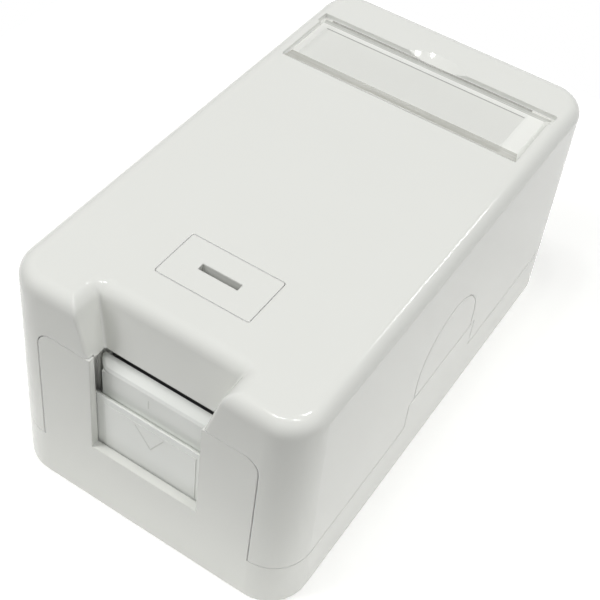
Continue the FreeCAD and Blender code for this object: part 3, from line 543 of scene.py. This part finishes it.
class JACKBOX_OT_shutter(bpy.types.Operator):
    """Give the two shutter leaves their acetal, and mark them with the arrow that says push down"""
    bl_idname = "jackbox.shutter"
    bl_label = "Shutter"

    def execute(self, context):
        settings = context.scene.jackbox_shutter
        dress(SHUTTER_NODES, moulded_plastic(
            "Acetal, injection moulded, semi-gloss", settings.colour, roughness=0.2, grain_mm=1.0,
            grain_depth_mm=0.001, edge_mm=0.06, ior=1.48))
        # painted shade: the arrow stands proud, and its darker colour stands for the shade of an engraving
        mark = moulded_plastic(
            "Acetal, shallow engraving", settings.arrow_painted_shade, roughness=0.5, grain_mm=0.3,
            grain_depth_mm=0.002, edge_mm=0.02, ior=1.48)
        upper_low, upper_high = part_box("upper_shutter")
        lower_low, lower_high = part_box("lower_shutter")
        shaft = bmesh.new()
        shaft_top = upper_high[2] - SHAFT_DROP
        stroke(shaft, (SHAFT_X, shaft_top), (SHAFT_X, shaft_top - SHAFT_LENGTH), settings.line_width,
               upper_low[1])
        piece_from(shaft, "shutter_arrow_shaft", mark, "upper_shutter")
        head = bmesh.new()
        tip = (TIP_X, lower_high[2] - TIP_DROP)
        for x in HEAD_WINGS:
            stroke(head, (x, lower_high[2] - HEAD_DROP), tip, settings.line_width, lower_low[1])
        piece_from(head, "shutter_arrow_head", mark, "lower_shutter")
        return {"FINISHED"}


class JACKBOX_OT_label(bpy.types.Operator):
    """Give the label slip its paper and the window its clear plastic"""
    bl_idname = "jackbox.label"
    bl_label = "Label"

    def execute(self, context):
        settings = context.scene.jackbox_label
        slip_low, slip_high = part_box("label_card")
        dress(("label_card",), slip_paper(
            "Paper, uncoated, pressed pulp", settings.paper_colour, settings.bed_colour,
            slip_high[1] - settings.slip_margin, settings.edge_shade_width))
        dress(("label_window",), clear_plastic(
            "Polystyrene, clear, polished tool", settings.window_colour, settings.front_bevel_shade,
            settings.rear_bevel_shade, settings.end_wall_light, slip_low[0], slip_high[0]))
        return {"FINISHED"}


class JACKBOX_OT_jack(bpy.types.Operator):
    """Give the jack its plastics, board and plated contacts"""
    bl_idname = "jackbox.jack"
    bl_label = "Jack"

    def execute(self, context):
        settings = context.scene.jackbox_jack
        dress(JACK_NODES, moulded_plastic(
            "PBT, injection moulded, smooth", settings.housing_colour, roughness=0.36, grain_mm=0.25,
            grain_depth_mm=0.002, edge_mm=0.08))
        dress(("contact_carrier",), moulded_plastic(
            "Nylon, injection moulded, black", settings.carrier_colour, roughness=0.4, grain_mm=0.25,
            grain_depth_mm=0.003, edge_mm=0.05))
        dress(("circuit_board",), solder_mask(
            "Glass epoxy, green solder mask", settings.board_colour, settings.track_colour,
            settings.track_pitch / MM))
        dress(SPRING_NODES, plated_metal(
            "Phosphor bronze, rolled, gold plated", settings.gold_colour, roughness=0.2, line_mm=0.05))
        dress(CUTTING_NODES, plated_metal(
            "Phosphor bronze, rolled, tin plated", settings.tin_colour, roughness=0.3, line_mm=0.05))
        return {"FINISHED"}


# --- Stage ---------------------------------------------------------------------------------------
def seen_as_background(tree):
    """1 for the rays that show the surroundings to the eye: straight, mirrored or through glass."""
    ray = add_node(tree, "ShaderNodeLightPath")
    seen = ray.outputs["Is Camera Ray"]
    for kind in ("Is Glossy Ray", "Is Transmission Ray"):
        either = add_node(tree, "ShaderNodeMath", {0: seen, 1: ray.outputs[kind]}, operation="MAXIMUM")
        seen = either.outputs["Value"]
    return seen


def floor_material(colour):
    """Matt white table that reads as plain white to the camera, yet keeps the box's soft shadow."""
    material, tree = new_material("Table, matt white laminate")
    table = add_node(tree, "ShaderNodeBsdfDiffuse", {"Color": colour})
    lift = add_node(tree, "ShaderNodeEmission", {"Color": WHITE, "Strength": FLOOR_LIFT})
    lifted = add_node(tree, "ShaderNodeAddShader", {0: table.outputs["BSDF"], 1: lift.outputs["Emission"]})
    floor = add_node(tree, "ShaderNodeMixShader", {
        0: seen_as_background(tree), 1: table.outputs["BSDF"], 2: lifted.outputs["Shader"]})
    finish_material(tree, floor.outputs["Shader"])
    return material


def area_lamp(name, direction, width, height, power):
    """A soft box LAMP_DISTANCE from the box's middle, in this direction, facing it."""
    lamp = bpy.data.lights.new(name, "AREA")
    lamp.shape = "RECTANGLE"
    lamp.size = width
    lamp.size_y = height
    lamp.energy = power
    obj = bpy.data.objects.new(name, lamp)
    aim = Vector(direction).normalized()
    obj.location = MIDDLE + aim * LAMP_DISTANCE
    obj.rotation_euler = aim.to_track_quat("Z", "Y").to_euler()
    obj.visible_glossy = width < TENT_LIGHT
    bpy.context.collection.objects.link(obj)


def studio_world(level):
    """Even surround: white to the camera, gloss and glass, and dimmer as a light."""
    world = bpy.data.worlds.new("Studio surround")
    bpy.context.scene.world = world
    world.use_nodes = True
    tree = world.node_tree
    tree.nodes.clear()
    strength = add_node(tree, "ShaderNodeMapRange", {
        "Value": seen_as_background(tree), "To Min": level, "To Max": 1.0})
    sky = add_node(tree, "ShaderNodeBackground", {"Color": WHITE, "Strength": strength.outputs["Result"]})
    add_node(tree, "ShaderNodeOutputWorld", {"Surface": sky.outputs["Background"]})


class JACKBOX_OT_stage(bpy.types.Operator):
    """Set the pale floor, the soft lamps and the camera"""
    bl_idname = "jackbox.stage"
    bl_label = "Stage"

    def execute(self, context):
        settings = context.scene.jackbox_stage
        half = settings.floor_size / 2
        corners = [(-half, -half, 0), (half, -half, 0), (half, half, 0), (-half, half, 0)]
        floor_mesh = bpy.data.meshes.new("floor")
        floor_mesh.from_pydata(corners, [], [(0, 1, 2, 3)])
        floor_mesh.materials.append(floor_material(settings.floor_colour))
        floor = bpy.data.objects.new("floor", floor_mesh)
        context.collection.objects.link(floor)
        studio_world(settings.world_level)
        for lamp in LAMPS:
            area_lamp(*lamp)
        camera = bpy.data.cameras.new("Camera")
        camera.sensor_width = SENSOR_WIDTH
        camera.lens = settings.lens
        view = bpy.data.objects.new("Camera", camera)
        view.location = CAMERA_PLACE
        view.rotation_euler = [math.radians(angle) for angle in CAMERA_TURN]
        context.collection.objects.link(view)
        context.scene.camera = view
        context.scene.view_settings.view_transform = "Standard"
        return {"FINISHED"}


STEPS = (
    ("jackbox_housing", HousingSettings, JACKBOX_OT_housing),
    ("jackbox_shutter", ShutterSettings, JACKBOX_OT_shutter),
    ("jackbox_label", LabelSettings, JACKBOX_OT_label),
    ("jackbox_jack", JackSettings, JACKBOX_OT_jack),
    ("jackbox_stage", StageSettings, JACKBOX_OT_stage),
)


class JACKBOX_PT_panel(bpy.types.Panel):
    """Steps and settings of the jack box"""
    bl_idname = "JACKBOX_PT_panel"
    bl_label = "Jack box"
    bl_space_type = "VIEW_3D"
    bl_region_type = "UI"
    bl_category = "Jack box"

    def draw(self, context):
        for group, settings, operator in STEPS:
            column = self.layout.column(align=True)
            for name in settings.__annotations__:
                column.prop(getattr(context.scene, group), name)
            column.operator(operator.bl_idname)


def register():
    for group, settings, operator in STEPS:
        bpy.utils.register_class(settings)
        bpy.utils.register_class(operator)
        setattr(bpy.types.Scene, group, bpy.props.PointerProperty(type=settings))
    bpy.utils.register_class(JACKBOX_PT_panel)


def unregister():
    bpy.utils.unregister_class(JACKBOX_PT_panel)
    for group, settings, operator in reversed(STEPS):
        delattr(bpy.types.Scene, group)
        bpy.utils.unregister_class(operator)
        bpy.utils.unregister_class(settings)


def main():
    register()
    for _, _, operator in STEPS:
        module, name = operator.bl_idname.split(".")
        getattr(getattr(bpy.ops, module), name)()


if __name__ == "__main__":
    main()
